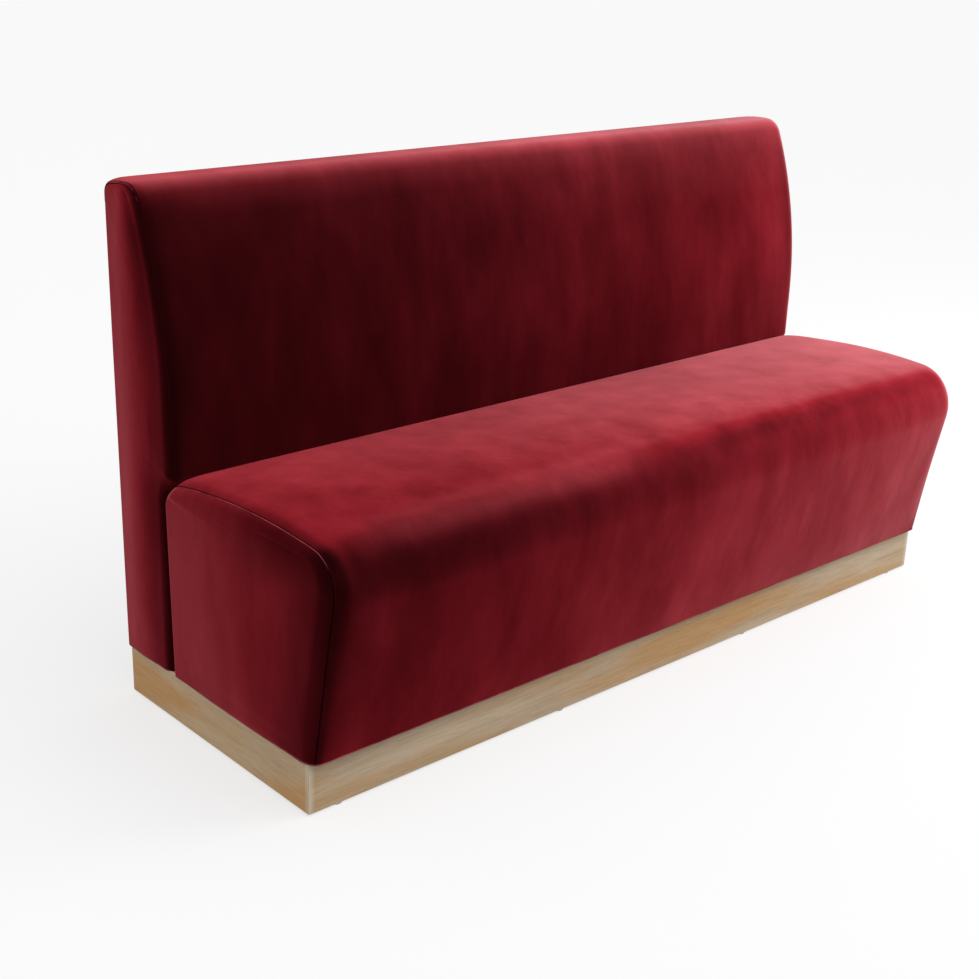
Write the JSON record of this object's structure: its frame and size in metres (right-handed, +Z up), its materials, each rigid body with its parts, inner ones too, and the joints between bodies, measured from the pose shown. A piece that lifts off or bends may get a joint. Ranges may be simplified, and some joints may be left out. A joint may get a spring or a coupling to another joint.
{
  "type": "restaurant booth bench",
  "caption": "Upholstered restaurant booth bench: a rounded velvet seat block and a tall curved velvet back block side by side on a low oak plinth.",
  "frame": {"origin": "On the floor, under the middle of the bench's length and depth", "axes": "+X along the bench (to the right for someone who faces the seat), +Y from the sitter's feet to the rear, +Z up"},
  "size_m": [1.6, 0.5999, 0.907],
  "materials": {
    "velvet": "short-pile velvet, deep wine red",
    "foam": "open-cell upholstery foam, pale cream",
    "felt": "needled grey felt",
    "webbing": "woven elastic webbing, black",
    "lining": "spunbonded lining cloth, black",
    "pine": "planed softwood, unfinished",
    "panel_board": "thin plywood and hardboard, unfinished",
    "oak": "matt oak with open grain, pale grey-brown",
    "steel": "zinc-plated steel",
    "nylon": "moulded nylon, dark brown"
  },
  "bodies": {
    "root": {"angle_screws": "steel", "back_frame_screws": "steel", "back_front_bottom_rail": "pine", "back_front_foam": "foam", "back_left_end_cover": "velvet", "back_left_end_pad": "foam", "back_left_gable": "pine", "back_left_rib": "pine", "back_lower_panel": "panel_board", "back_middle_rail": "pine", "back_rear_bottom_rail": "pine", "back_rear_cover": "velvet", "back_rear_panel": "panel_board", "back_right_end_cover": "velvet", "back_right_end_pad": "foam", "back_right_gable": "pine", "back_right_rib": "pine", "back_seat_rail": "pine", "back_top_foam": "foam", "back_top_rail": "pine", "back_webbing": "webbing", "back_wrap_cover": "velvet", "dust_cover": "lining", "frame_bolts": "steel", "frame_nuts": "steel", "frame_washers": "steel", "glides": "nylon", "plinth_angles": "steel", "plinth_corner_blocks": "pine", "plinth_front_board": "oak", "plinth_left_cross_rail": "pine", "plinth_left_end_board": "oak", "plinth_middle_cross_rail": "pine", "plinth_rear_rail": "oak", "plinth_right_cross_rail": "pine", "plinth_right_end_board": "oak", "seat_felt": "felt", "seat_foam_slab": "foam", "seat_frame_screws": "steel", "seat_front_bottom_rail": "pine", "seat_front_foam": "foam", "seat_front_panel": "panel_board", "seat_front_top_rail": "pine", "seat_left_end_cover": "velvet", "seat_left_end_pad": "foam", "seat_left_gable": "pine", "seat_left_rib": "pine", "seat_rear_bottom_rail": "pine", "seat_rear_panel": "panel_board", "seat_rear_top_rail": "pine", "seat_right_end_cover": "velvet", "seat_right_end_pad": "foam", "seat_right_gable": "pine", "seat_right_rib": "pine", "seat_webbing": "webbing", "seat_wrap_cover": "velvet"}
  },
  "joints": []
}
